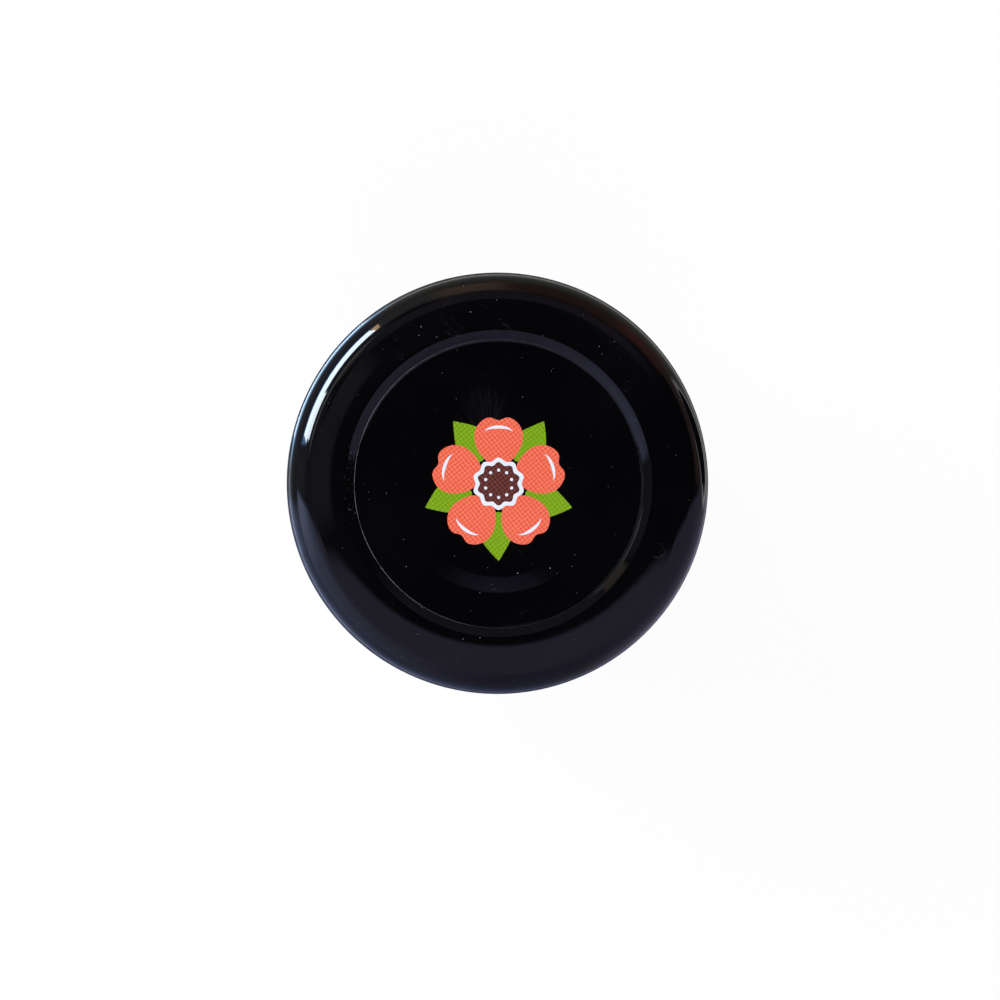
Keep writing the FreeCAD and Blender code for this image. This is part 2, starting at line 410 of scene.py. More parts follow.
def makeEnamel():
    look = lidLook
    material, web, place = startMaterial("lidEnamel")
    east, north, up = web.parts(place)
    radius = web.over(web.hypot(east, north), mm)
    scratch, dust, haze = web.handled(place, look["scratches"], look["dust"])

    # the fold has lost its enamel here and there, most on the west side
    fold = web.near(radius, look["edgeRadius"], look["edgeWidth"] * softEdge, look["edgeWidth"])
    westward = web.ramp(web.over(east, mm * look["wearReach"]), *look["wearWest"])
    worn = web.times(fold, westward, web.patches(place, **look["wear"]))

    # rubbed spots on the step wall, west by south
    side = web.over(web.minus(web.times(east, -1.0), web.math("ABSOLUTE", north)), mm)
    onWall = web.near(radius, look["stepRadius"], *look["rubWidth"])
    rubbed = web.times(web.patches(place, **look["rub"]), onWall, web.ramp(side, *look["rubSide"]))

    # a fan of faint rub marks above the print
    fan = web.mapped(place, Location=(-look["fanEast"] * mm, -look["fanNorth"] * mm, 0), Scale=(1, 1, 0))
    across, along, _ = web.parts(fan)
    spoke = web.math("ARCTAN2", across, web.plus(along, look["fanHub"] * mm))
    rays = web.patches(web.joined(spoke, web.times(radius, look["fanTwist"])), **look["fan"])
    inner, outer = look["fanReach"]
    fan = web.times(web.ramp(web.length(fan), inner * mm, outer * mm, 1.0, 0.0), rays)

    # painted sheen: the corner between skirt and hem is lightened in patches toward the dust colour, standing
    # in for light caught on the hem
    reach = look["hemReach"]
    hemSheen = web.near(radius, look["hemRadius"], reach * softEdge, reach, look["hemSheenShare"])
    low = web.math("LESS_THAN", web.over(web.minus(up, lidLow.z), mm), look["hemTop"])
    hemSheen = web.times(hemSheen, low, web.patches(place, **look["hemSheenPatches"]))

    marks = web.most(worn, rubbed, web.times(scratch, look["scratchTint"]))
    colour = web.mix(marks, look["enamel"], look["wornColour"])
    # the painted hem sheen, the fan, the haze and the dust each lighten the colour toward the dust colour
    for share in (hemSheen, web.times(fan, look["fanTint"]), web.times(haze, look["hazeTint"]), dust):
        colour = web.mix(share, colour, look["dustColour"])
    roughness = web.plus(look["gloss"], web.times(haze, look["hazeGloss"]))
    roughness = web.plus(roughness, web.times(web.most(marks, dust), look["wornGloss"]), clamp=True)

    # ring marks left by stacking, and the slight unevenness of stoved enamel
    def ringMark(clock, outward):
        angle = radians(clock)
        spot = (outward * mm * sin(angle), outward * mm * cos(angle), 0)
        away = web.vector("MULTIPLY", web.vector("SUBTRACT", place, spot)[0], (1, 1, 0))[0]
        return web.near(web.length(away), look["markRadius"] * mm, 0.0, look["markWidth"] * mm)

    rings = web.most(*(ringMark(*spot) for spot in look["stackMarks"]))
    skin, pimples = (web.noise(place, look[scale], detail=2.0) for scale in ("skinScale", "pimpleScale"))
    height = web.plus(web.times(skin, look["skinHeight"]), web.times(pimples, look["pimpleHeight"]))
    height = web.plus(height, web.times(rings, look["markHeight"]))
    normal = web.bump(height, mm, Normal=easedNormal(web, radius))
    web.finish(web.gloss(colour, roughness, {"IOR": look["ior"], "Normal": normal}))
    return material


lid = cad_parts["lid"]
lidLow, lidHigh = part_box("lid")
lid.material_slots[0].material = makeEnamel()
print("lid dressed")


# print on the button: a plain blossom with leaves

blossom = {
    "count": 5,
    "petalInner": 1.9, "petalOuter": 7.3, "petalWidth": 5.7, "petalNotch": 0.55, "notchWidth": 0.13,
    "petalSwell": (0.72, 0.38, -0.10),  # of the width, growing along the petal
    "leafInner": 3.0, "leafOuter": 8.2, "leafWidth": 3.7, "leafSwell": (1.12, -0.35),
    "leafPowers": (0.8, 0.9), "leafBend": 0.28,
    "rimInner": 5.15, "rimWidth": 3.2, "rimThickness": 0.34, "rimRise": 1.05, "rimRound": 0.92,
    "centreRadius": 2.15, "ringRadius": 2.62, "lobes": 10, "lobeDepth": 0.16,
    "dotCount": 10, "dotRadius": 0.17, "dotRing": 1.45,
    "inkThickness": 0.006, "inkRoot": 0.02,  # mm, for each layer and down into the sheet
    "buttonDepth": 1.017,  # mm from the ridge of the lid down to the button
}
# light, dark and how strongly the screen shows
inkColours = {
    "coral": (srgb(250, 132, 99), srgb(231, 82, 54), 1.4),
    "leafGreen": (srgb(137, 182, 28), srgb(108, 148, 10), 1.4),
    "brown": (srgb(113, 65, 56), srgb(76, 32, 29), 1.4),
    "white": (srgb(240, 246, 250), srgb(226, 236, 244), 0.4),
}
inkLook = {
    "scratches": 0.25, "dust": 0.6, "scratchTint": 0.3, "gloss": (0.16, 0.24),
    "tint": {"scale": 160, "detail": 2.0, "span": (0.3, 0.7, 0.0, 0.12)},
    "ior": 1.5, "relief": 0.004, "reliefStrength": 0.5,
}


def makeInk(name, light, dark, strength):
    look = inkLook
    material, web, place = startMaterial(name + "Ink")
    screen = web.add("Group", {"Vector": place, "Light": light, "Dark": dark, "Strength": strength},
                     node_tree=screenGroup).outputs
    scratch, dust, haze = web.handled(place, look["scratches"], look["dust"])
    colour = web.mix(web.patches(place, **look["tint"]), screen["Color"], dark)
    colour = web.mix(web.most(dust, web.times(scratch, look["scratchTint"])), colour, lidLook["dustColour"])
    normal = web.bump(screen["Height"], look["relief"] * mm, look["reliefStrength"])
    web.finish(web.gloss(colour, web.ramp(haze, 0.0, 1.0, *look["gloss"]), {
        "IOR": look["ior"], "Normal": normal}))
    return material


inks = {name: makeInk(name, *values) for name, values in inkColours.items()}


def slab(name, outline, layer):
    # a closed ink film from a flat outline in mm, up to the given layer above the button
    button = lidHigh.z - blossom["buttonDepth"] * mm
    ends = (button - blossom["inkRoot"] * mm, button + layer * blossom["inkThickness"] * mm)
    shape = bmesh.new()
    low, high = ([shape.verts.new((x * mm, y * mm, up)) for x, y in outline] for up in ends)
    shape.faces.new(high)
    shape.faces.new(low[::-1])
    for number in range(len(outline)):
        after = (number + 1) % len(outline)
        shape.faces.new((low[number], low[after], high[after], high[number]))
    bmesh.ops.recalc_face_normals(shape, faces=shape.faces)
    return meshFrom(name, shape)


def petalOutline(steps=72):
    # egg-shaped petal along +Y with a soft notch at its tip
    b = blossom
    base, swell, narrow = b["petalSwell"]
    points = []
    for turn in turns(steps):
        along = (1 - cos(turn)) / 2
        across = sin(turn) * b["petalWidth"] / 2 * (base + swell * along + narrow * along ** 3)
        dent = exp(-(across / (b["petalWidth"] * b["notchWidth"])) ** 2) * max(0.0, along - 0.5) * 2
        length = (b["petalOuter"] - b["petalInner"]) * along
        points.append((-across, b["petalInner"] + length - b["petalNotch"] * dent))
    return points


def leafOutline(steps=64):
    # a leaf along +Y, widest below the middle, drawn out to a point
    b = blossom
    base, narrow = b["leafSwell"]
    low, point = b["leafPowers"]
    points = []
    for turn in turns(steps):
        along = (1 - cos(turn)) / 2
        half = b["leafWidth"] / 2 * sin(pi * along ** low) ** point * (base + narrow * along)
        bend = b["leafBend"] * sin(pi * along)
        length = (b["leafOuter"] - b["leafInner"]) * along
        points.append((-copysign(half, sin(turn)) + bend, b["leafInner"] + length))
    return points


def crescentOutline(steps=28):
    # a light crescent that follows the petal's tip
    b = blossom
    outer, inner = [], []
    for number in range(1, steps):
        share = -1 + 2 * number / steps
        across = share * b["rimWidth"] / 2
        up = b["rimInner"] + b["rimRise"] * sqrt(1 - share * share * b["rimRound"])
        outer.append((across, up))
        inner.append((across, up - b["rimThickness"] * (1 - share * share)))
    return outer + inner[::-1]


def lobedOutline(radius, lobes=0, depth=0.0, steps=120, up=0.0):
    return [((radius + depth * cos(lobes * turn)) * sin(turn),
             (radius + depth * cos(lobes * turn)) * cos(turn) + up) for turn in turns(steps)]


def startNodes(name, inputs):
    return startGroup(name, [("Geometry", "Geometry"), *inputs, ("Material", "Material")],
                      [("Geometry", "Geometry")], "GeometryNodeTree")


def placeCopies(web, given, out, points, instance, **inputs):
    # the last nodes of a tree: copies on points, made real and dressed
    copies = web.add("GeometryNodeInstanceOnPoints", {"Points": points, "Instance": instance, **inputs})
    real = web.add("GeometryNodeRealizeInstances", {0: copies.outputs[0]})
    dressed = web.add("GeometryNodeSetMaterial", {"Geometry": real.outputs[0], "Material": given["Material"]})
    web.feed(out["Geometry"], dressed.outputs[0])


def makeRingTree():
    # Geometry Nodes: copies of the given film, turned evenly about Z
    tree, web, given, out = startNodes("turnedCopies", [("Count", "Int"), ("Turn", "Float")])
    points = web.add("GeometryNodePoints", {"Count": given["Count"]}).outputs[0]
    step = web.over(2 * pi, given["Count"])
    turn = web.plus(web.times(web.add("GeometryNodeInputIndex").outputs[0], step), given["Turn"])
    placeCopies(web, given, out, points, given["Geometry"], Rotation=web.joined(z=turn))
    return tree


def pieceFromNodes(name, mesh, tree, material, **values):
    # runs a Geometry Nodes tree on a mesh and keeps the result as a plain piece
    carrier = addObject(name + "Carrier", mesh)
    modifier = carrier.modifiers.new("nodes", "NODES")
    modifier.node_group = tree
    values["Material"] = material
    for item in tree.interface.items_tree:
        if item.item_type == "SOCKET" and item.in_out == "INPUT" and item.name in values:
            modifier[item.identifier] = values[item.name]
    evaluated = carrier.evaluated_get(bpy.context.evaluated_depsgraph_get())
    data = bpy.data.meshes.new_from_object(evaluated)
    carrier.modifiers.remove(modifier)
    bpy.data.objects.remove(carrier)
    return pieceFromMesh(name, data, material)


def makeBlossom():
    b = blossom
    tree = makeRingTree()
    dot = lobedOutline(b["dotRadius"], steps=20, up=b["dotRing"])
    for name, outline, layer, count, turn, ink in (
            ("printLeaves", leafOutline(), 1, b["count"], pi / b["count"], "leafGreen"),
            ("printPetals", petalOutline(), 2, b["count"], 0.0, "coral"),
            ("printCrescents", crescentOutline(), 3, b["count"], 0.0, "white"),
            ("printDots", dot, 5, b["dotCount"], 0.0, "white")):
        pieceFromNodes(name, slab(name, outline, layer), tree, inks[ink], Count=count, Turn=turn)
    for name, radius, layer, ink in (("printRing", b["ringRadius"], 3, "white"),
                                     ("printCentre", b["centreRadius"], 4, "brown")):
        outline = lobedOutline(radius, b["lobes"], b["lobeDepth"])
        pieceFromMesh(name, slab(name, outline, layer), inks[ink])


makeBlossom()
print("blossom printed")


# dust: grains lying on the lid

dustLook = {
    "density": 70000.0, "seed": 7, "smallest": 0.012, "largest": 0.05,
    "facing": 0.6, "above": 7,  # least upward normal, least mm over the hem's foot
    "tint": {"scale": 900, "detail": 1.0, "span": (0.3, 0.7)},
    "dark": (0.18, 0.19, 0.20, 1), "light": (0.55, 0.56, 0.58, 1), "roughness": 0.9,
}


def makeDustTree():
    # Geometry Nodes: grains of mixed sizes strewn over what faces up
    tree, web, given, out = startNodes(
        "strewnGrains", [("Density", "Float"), ("Seed", "Int"), ("Smallest", "Float"), ("Largest", "Float")])
    facing = web.parts(web.add("GeometryNodeInputNormal").outputs[0])[2]
    height = web.parts(web.add("GeometryNodeInputPosition").outputs[0])[2]
    up = web.times(web.above(facing, dustLook["facing"]), web.above(height, lidLow.z + dustLook["above"] * mm))
    points = web.add("GeometryNodeDistributePointsOnFaces", {
        "Mesh": given["Geometry"], "Selection": up, "Density": given["Density"], "Seed": given["Seed"]})
    size = web.add("FunctionNodeRandomValue", {2: given["Smallest"], 3: given["Largest"]}, data_type="FLOAT")
    slim = web.add("FunctionNodeRandomValue", {"Seed": 3}, data_type="FLOAT")
    width = web.times(size.outputs[1], web.math("POWER", slim.outputs[1], 2.0))
    scale = web.joined(size.outputs[1], web.plus(width, given["Smallest"]), given["Smallest"])
    grain = web.add("GeometryNodeMeshIcoSphere", {"Radius": mm, "Subdivisions": 1})
    turned = web.add("FunctionNodeRandomValue", {0: (0, 0, 0), 1: (0, 0, 6.28)}, data_type="FLOAT_VECTOR")
    placeCopies(web, given, out, points.outputs[0], grain.outputs[0], Rotation=turned.outputs[0], Scale=scale)
    return tree


def makeDust():
    look = dustLook
    material, web, place = startMaterial("dustGrain")
    colour = web.mix(web.patches(place, **look["tint"]), look["dark"], look["light"])
    web.finish(web.gloss(colour, look["roughness"]))
    piece = pieceFromNodes("lidDust", lid.data.copy(), makeDustTree(), material, Density=look["density"],
                           Seed=look["seed"], Smallest=look["smallest"], Largest=look["largest"])
    print("dust grains:", len(piece.data.polygons) // 20)


makeDust()


# glass jar

jar = {
    "bodyRadius": 22.0, "bandHeight": 6.0, "labelRecess": 0.25, "wall": 2.0, "baseThickness": 2.7,
    "pushUp": 1.1, "footWidth": 4.6, "heelRound": 2.8, "floorRound": 3.6, "bandEase": 0.9, "softRound": 1.5,
    "finishHeight": 9.4, "beadHeight": 2.2, "beadStand": 1.5, "beadRound": 0.8, "grooveHeight": 1.0,
    "grooveDepth": 1.0, "neckRadius": 19.95, "rimWidth": 2.95, "rimRound": 1.1, "throatHeight": 3.4,
    "throatRound": 2.6, "headspace": 6.4,
    "segments": 288, "longest": 1.3,  # mm, longest edge of the section
    "threadStarts": 4, "threadSweep": 78.0, "threadRise": 1.9, "threadHeight": 1.15, "threadStand": 1.15,
    "threadFade": 0.12, "threadFlank": 0.42,  # shares of its sweep and of its height
    "threadFoot": 2.9,  # mm from the bead up to the low end of a thread
    "threadFrom": 0.6,  # mm over the bead where the skin starts to be lifted
    "stippleCount": 72, "stippleDepth": 0.12, "stippleMargin": (0.2, 0.3),
    "seamStand": 0.035, "seamWidth": 0.25, "seamMargin": 0.06,
}
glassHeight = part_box("glass_jar")[1].z / mm
beadTop = glassHeight - jar["finishHeight"]
beadBottom = beadTop - jar["beadHeight"]
grooveBottom = beadBottom - jar["grooveHeight"]
labelRadius = jar["bodyRadius"] - jar["labelRecess"]
insideRadius = labelRadius - jar["wall"]
boreRadius = jar["neckRadius"] - jar["rimWidth"]
beadRadius = jar["neckRadius"] + jar["beadStand"]
floorHeight = jar["pushUp"] + jar["baseThickness"]


def cavity(grow):
    # the inside of the glass from the floor up, moved out into the wall by a little
    return [(0, floorHeight - grow, 0), (insideRadius + grow, floorHeight - grow, jar["floorRound"] + grow),
            (insideRadius + grow, grooveBottom - jar["throatHeight"], jar["throatRound"]),
            (boreRadius + grow, grooveBottom, jar["throatRound"])]


def makeGlassMesh():
    j = jar
    body, neck, soft, bead = j["bodyRadius"], j["neckRadius"], j["softRound"], j["beadRound"]
    foot = body - j["footWidth"]
    lowerBand = j["bandHeight"]
    shoulder = grooveBottom - j["grooveDepth"]
    upperBand = shoulder - j["bandHeight"]
    grooveRadius = beadRadius - j["grooveDepth"]
    outside = [
        (0, j["pushUp"], 0), (foot - j["pushUp"] * 2, j["pushUp"], soft * 2), (foot, 0, soft / 2),
        (body, 0, j["heelRound"]), (body, lowerBand, soft), (labelRadius, lowerBand + j["bandEase"], soft),
        (labelRadius, upperBand - j["bandEase"], soft), (body, upperBand, soft), (body, shoulder, soft),
        (grooveRadius, grooveBottom, bead / 2), (grooveRadius, beadBottom, bead / 2),
        (beadRadius, beadBottom + bead / 2, bead), (beadRadius, beadTop - bead / 2, bead),
        (neck, beadTop, bead / 2), (neck, glassHeight, j["rimRound"]),
    ]
    inside = cavity(0) + [(boreRadius, glassHeight, j["rimRound"])]
    line = evenly(roundedLine(outside + inside[::-1]), j["longest"])
    outerEnd = max(range(len(line)), key=lambda number: line[number].y)

    def thread(up, angle):
        # short ridges that climb a quarter turn each, thinning out at both ends
        share = (degrees(angle) % (360 / j["threadStarts"])) / j["threadSweep"]
        if share > 1:
            return 0.0
        middle = beadTop + j["threadFoot"] + j["threadRise"] * share
        fade = min(1.0, share / j["threadFade"], (1 - share) / j["threadFade"])
        flank = j["threadHeight"] * j["threadFlank"]
        return j["threadStand"] * fade * exp(-((up - middle) / flank) ** 4)

    def shift(number, across, up, angle):
        outward, rise = 0.0, 0.0
        if number >= outerEnd:
            return outward, rise
        if up > beadTop + j["threadFrom"] and across > neck - 0.05:
            outward += thread(up, angle)
        if j["heelRound"] < up < glassHeight - 2 * j["rimRound"] and across < body - j["seamMargin"]:
            seam = abs((angle + pi / 2) % pi - pi / 2) * across
            outward += j["seamStand"] * exp(-(seam / j["seamWidth"]) ** 2)
        inner, outer = j["stippleMargin"]
        if up < 0.01 and foot + inner < across < body - j["heelRound"] + outer:
            rise += j["stippleDepth"] * (0.5 - 0.5 * cos(j["stippleCount"] * angle)) ** 2
        return outward, rise

    return turnedMesh("jarGlass", line, j["segments"], shift)


glassLook = {
    "scratches": 0.4, "dust": 0.5, "wornGloss": 0.25, "scratchHeight": 0.002,
    "flat": 0.35, "waveScale": 110, "waveHeight": 0.05,
    "tint": (0.985, 0.995, 0.99, 1), "shadow": (0.93, 0.95, 0.94, 1), "ior": 1.52,
}


def makeGlassMaterial():
    look = glassLook
    material, web, place = startMaterial("jarGlass")
    scratch, dust, haze = web.handled(place, look["scratches"], look["dust"])
    waves = web.noise(web.mapped(place, Scale=(1.0, 1.0, look["flat"])), look["waveScale"], detail=2.0)
    height = web.plus(web.times(waves, look["waveHeight"]), web.times(scratch, look["scratchHeight"]))
    glass = web.gloss(look["tint"], web.times(web.most(dust, scratch), look["wornGloss"]), {
        "IOR": look["ior"], "Transmission Weight": 1.0, "Normal": web.bump(height, mm)})
    clear = web.add("BsdfTransparent", {"Color": look["shadow"]})
    web.finish(web.layered(web.add("LightPath").outputs["Is Shadow Ray"], glass, clear))
    return material


glass = pieceFromMesh("jarGlass", makeGlassMesh(), makeGlassMaterial())
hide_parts("glass_jar")
print("glass blown:", len(glass.data.polygons), "faces")


# jam

jamLook = {
    "intoWall": 0.03,  # mm that the jam reaches into the glass
    "climb": 0.5,  # mm that it clings up the wall
    "segments": 192, "seed": 11, "margin": 1.2, "marginEase": 1.5, "unevenness": 0.35, "lumpCount": 46,
    "lumpSpans": ((0, 2 * pi), (1, 15), (1.2, 2.8), (-0.6, 1)),  # angle, mm out, mm wide, strength
    "syrup": srgb(176, 84, 10), "deepSyrup": srgb(128, 50, 6),
    "flesh": srgb(226, 146, 44), "paleFlesh": srgb(240, 182, 86),
    "peel": srgb(166, 66, 16),
    "warpScale": 90.0, "warp": 0.009,
    "chunkScale": 120.0, "chunkSmooth": 0.35, "chunkEdge": (0.30, 0.52), "chunkPick": (0.30, 0.55),
    "fibres": {"Rotation": (0.5, 0.8, 0.3), "Scale": (1, 6, 1)},
    "strands": {"scale": 260, "detail": 4.0, "roughness": 0.65, "distortion": 0.6, "span": (0.42, 0.68)},
    "pulp": {"scale": 240, "detail": 5.0, "roughness": 0.62, "span": (0.40, 0.66)},
    "depth": {"scale": 75, "detail": 2.0, "span": (0.35, 0.68)},
    "peelAt": (0.36, 0.44, 0.52), "peelPick": (0.62, 0.75),
    "bubbleScale": 420.0, "bubbleAt": (0.10, 0.14, 0.18), "bubblesAbove": 0.9,
    "pulpShare": 0.55, "chunkShare": 0.9, "peelShare": 0.6, "bubbleShare": 0.5,
    "chunkHeight": 0.25, "pulpHeight": 0.15, "relief": 0.35, "gloss": (0.14, 0.3),
    "body": {"IOR": 1.42, "Subsurface Weight": 0.35, "Subsurface Radius": (1.0, 0.35, 0.08),
             "Subsurface Scale": 1.6 * mm},
}


def makeJamMesh():
    look = jamLook
    level = glassHeight - jar["headspace"]
    low = level - look["climb"]
    grow = look["intoWall"]
    line = roundedLine(cavity(grow) + [(boreRadius + grow, level, 0)])
    top = [(boreRadius - 0.5, level - 0.15), (boreRadius - 1.6, low), (boreRadius * 0.7, low),
           (boreRadius * 0.35, low), (0, low)]
    section = evenly(line + [Vector(point) for point in top], 1.2)
    draw = random.Random(look["seed"])
    lumps = [[draw.uniform(*span) for span in look["lumpSpans"]] for _ in range(look["lumpCount"])]
    shore = boreRadius - look["margin"]

    def shift(number, across, up, angle):
        if up < level - 1 or across > shore:
            return 0.0, 0.0
        x, y = across * cos(angle), across * sin(angle)
        rise = 0.0
        for turn, outward, size, strength in lumps:
            away = (x - outward * cos(turn)) ** 2 + (y - outward * sin(turn)) ** 2
            rise += strength * look["unevenness"] * exp(-away / size ** 2)
        return 0.0, rise * min(1.0, (shore - across) / look["marginEase"])

    return turnedMesh("jamFill", section, look["segments"], shift)


def makeJamMaterial():
    look = jamLook
    material, web, place = startMaterial("apricotJam")
    warp = web.add("TexNoise", {"Vector": place, "Scale": look["warpScale"], "Detail": 2.0})
    bent = web.vector("SUBTRACT", warp.outputs["Color"], (0.5, 0.5, 0.5))[0]
    bent = web.vector("SCALE", bent, Scale=look["warp"])[0]
    bent = web.vector("ADD", place, bent)[0]

    def between(value, low, middle, high):
        # a line that is full at the middle value only
        return web.times(web.ramp(value, low, middle), web.ramp(value, middle, high, 1.0, 0.0))

    away, pick = web.cells(bent, look["chunkScale"], look["chunkSmooth"])
    chunk = web.times(web.ramp(away, *look["chunkEdge"], 1.0, 0.0), web.ramp(pick, *look["chunkPick"]))
    skin = web.times(between(away, *look["peelAt"]), web.ramp(pick, *look["peelPick"]))
    away, pick = web.cells(place, look["bubbleScale"])
    bubble = web.times(between(away, *look["bubbleAt"]), web.above(pick, look["bubblesAbove"]))
    strands = web.patches(web.mapped(bent, **look["fibres"]), **look["strands"])
    pulp = web.patches(bent, **look["pulp"])

    colour = web.mix(web.patches(place, **look["depth"]), look["deepSyrup"], look["syrup"])
    colour = web.mix(web.times(pulp, look["pulpShare"]), colour, look["flesh"])
    flesh = web.mix(strands, look["flesh"], look["paleFlesh"])
    colour = web.mix(web.times(chunk, look["chunkShare"]), colour, flesh)
    colour = web.mix(web.times(skin, look["peelShare"]), colour, look["peel"])
    colour = web.mix(web.times(bubble, look["bubbleShare"]), colour, look["paleFlesh"])
    height = web.plus(web.times(chunk, look["chunkHeight"]), web.times(pulp, look["pulpHeight"]))
    web.finish(web.gloss(colour, web.ramp(pulp, 0.0, 1.0, *look["gloss"]), {
        **look["body"], "Normal": web.bump(height, mm, look["relief"])}))
    return material


jam = pieceFromMesh("jamFill", makeJamMesh(), makeJamMaterial())
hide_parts("jam")
print("jam filled")


# sealing compound under the lid

sealLook = {
    "tint": {"scale": 500, "detail": 3.0, "span": (0.3, 0.7)},
    "dark": (0.72, 0.70, 0.63, 1), "light": (0.82, 0.80, 0.74, 1),
    "relief": 0.02, "reliefStrength": 0.4, "roughness": 0.55,
}


def makeSealMaterial():
    look = sealLook
    material, web, place = startMaterial("sealCompound")
    shade = web.patches(place, **look["tint"])
    normal = web.bump(shade, look["relief"] * mm, look["reliefStrength"])
    web.finish(web.gloss(web.mix(shade, look["dark"], look["light"]), look["roughness"], {"Normal": normal}))
    return material


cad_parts["seal_ring"].material_slots[0].material = makeSealMaterial()


# stage: floor, surroundings, lamps, camera

stage = {
    "floorRadius": 1.3,
    "floorGap": 0.00001,  # the floor lies this far under the glass
    "floorSpan": (0.12, 0.75), "floorFar": (0.9, 0.9, 0.9, 1),
    "ownLight": 0.94,  # share of the floor's look that doesn't depend on the lamps
    "tableFar": (0.20, 0.195, 0.18, 1), "tableNear": (0.42, 0.43, 0.42, 1), "tableTurn": (32, 62),
    "white": (1, 1, 1, 1),
    "lampShare": 0.35,  # a high lamp is narrowed to no less than this
}
# clock angle, half width, how far down and half of it, and softness in degrees, then the colour
tablePatches = {
    "farNorth": (-4, 20, 0, 4, 8, (0.27, 0.20, 0.12)),
    "farNorthEast": (30, 16, 0, 5, 8, (0.17, 0.115, 0.08)),
    "farRed": (47, 7, 0, 9, 6, (0.36, 0.15, 0.11)),
    "southEast": (124, 16, 40, 50, 24, (0.36, 0.325, 0.49)),
    "south": (184, 6, 40, 50, 34, (0.165, 0.185, 0.34)),
    "southWest": (-148, 12, 40, 50, 22, (0.24, 0.29, 0.49)),
    "westSouth": (-116, 12, 40, 50, 22, (0.33, 0.40, 0.66)),
    "west": (-102, 6, 40, 50, 3, (0.42, 0.51, 0.82)),
    "westFar": (-104, 9, 0, 2, 7, (0.75, 0.92, 1.45)),
    "southNear": (168, 8, 76, 12, 40, (0.10, 0.125, 0.24)),
    "westShade": (-80, 13, 12, 18, 8, (0.14, 0.14, 0.16)),
    "windowShade": (-60, 21, 14, 24, 6, (0.15, 0.155, 0.21)),
    "windowImage": (-58, 17, 68, 18, 14, (0.62, 1.24, 1.95)),
}
# a painted reflection: a dish east of the lid, dark inside with a bright rim, painted into the floor's image
# that only gloss sees
bowl = {
    "clock": 78, "halfWidth": 18, "depth": 20, "halfDepth": 18, "lean": 9,
    "hollow": (0.75, 0.95), "edgeSpan": (0.02, 0.16),
    "edge": (1.1, 1.12, 1.15, 1), "inside": (0.012, 0.014, 0.02, 1),
}


def makeFloor():
    shape = bmesh.new()
    bmesh.ops.create_circle(shape, cap_ends=True, segments=96, radius=stage["floorRadius"],
                            matrix=Matrix.Translation((0, 0, -stage["floorGap"])))
    floor = addObject("floor", meshFrom("floor", shape))
    material, web, place = startMaterial("paleFloor")
    away = web.length(place)
    east, north, up = web.parts(place)
    clock = web.math("DEGREES", web.math("ARCTAN2", east, north))  # -180 to 180, 0 is north
    depth = web.math("DEGREES", web.math("ARCTAN2", lidHigh.z, away))  # how far down the lid sees it
    shade = web.mix(web.ramp(away, *stage["floorSpan"]), stage["white"], stage["floorFar"])

    # in gloss the floor is the unlit side of the table, with daylight on it toward the window
    mirrored = web.mix(web.ramp(depth, *stage["tableTurn"]), stage["tableFar"], stage["tableNear"])
    for centre, halfWidth, middle, halfDepth, soft, tint in tablePatches.values():
        side = web.math("ABSOLUTE", web.math("WRAP", web.minus(clock, centre), 180, -180))
        patch = web.times(web.ramp(side, halfWidth, halfWidth + soft, 1.0, 0.0),
                          web.near(depth, middle, halfDepth, halfDepth + soft))
        mirrored = web.mix(patch, mirrored, (*tint, 1))
    # painted reflection of the dish: its dark hollow, then its bright rim
    across = web.over(web.minus(clock, bowl["clock"]), bowl["halfWidth"])
    along = web.minus(web.minus(depth, bowl["depth"]), web.times(across, bowl["lean"]))
    reach = web.hypot(across, web.over(along, bowl["halfDepth"]))
    mirrored = web.mix(web.ramp(reach, *bowl["hollow"], 1.0, 0.0), mirrored, bowl["inside"])
    mirrored = web.mix(web.near(reach, bowl["hollow"][1], *bowl["edgeSpan"]), mirrored, bowl["edge"])

    seen, gloss = web.rays()
    diffuse = web.add("BsdfDiffuse", {"Color": shade})
    glow = web.add("Emission", {"Color": shade, "Strength": 1.0})
    image = web.add("Emission", {"Color": mirrored, "Strength": 1.0})
    direct = web.layered(web.times(seen, stage["ownLight"]), diffuse, glow)
    # from below the floor is left open, so that the base can be looked at
    below = web.add("NewGeometry").outputs["Backfacing"]
    clear = web.add("BsdfTransparent")
    web.finish(web.layered(below, web.layered(gloss, direct, image), clear))
    floor.data.materials.append(material)


makeFloor()

zenith = (0.010, 0.010, 0.014, 1)
patchInputs = ("Clock", "Half Width", "Side Softness", "Height", "Half Height", "Softness")
# the inputs of each soft patch in degrees, then its colour
roomPatches = {
    "northCeiling": (2, 36, 24, 55, 8, 9, (0.13, 0.11, 0.15)),
    "westHigh": (285, 22, 14, 73, 3, 4, (0.14, 0.14, 0.16)),
    "westMiddle": (272, 14, 8, 61, 6, 6, (0.14, 0.14, 0.16)),
    "westDim": (279, 16, 8, 46, 9, 10, (0.11, 0.11, 0.13)),
    "westWall": (283, 16, 2, 8, 24, 8, (0.21, 0.21, 0.24)),
    "windowFrame": (302, 20, 8, 20, 22, 10, (0.13, 0.14, 0.17)),
    "windowGlow": (302, 19.5, 2.5, 13.5, 10, 4.5, (1.0, 1.9, 4.0)),
    "northWall": (334, 9, 12, 12, 10, 14, (0.28, 0.27, 0.26)),
    "brownWall": (356, 8, 10, 17, 10, 18, (0.62, 0.43, 0.31)),
    "brownWallEast": (22, 14, 12, 11, 12, 30, (0.21, 0.12, 0.085)),
    "redCorner": (47, 6, 6, 6, 9, 24, (0.40, 0.14, 0.11)),
    "eastSkirting": (71, 15, 9, 5, 9, 10, (0.23, 0.15, 0.13)),
    "lampGlow": (300, 14, 10, 44, 1.5, 1.5, (1.15, 1.15, 1.2)),
    "orangeLamp": (309, 5, 3, 50, 3, 3, (0.42, 0.32, 0.22)),
}
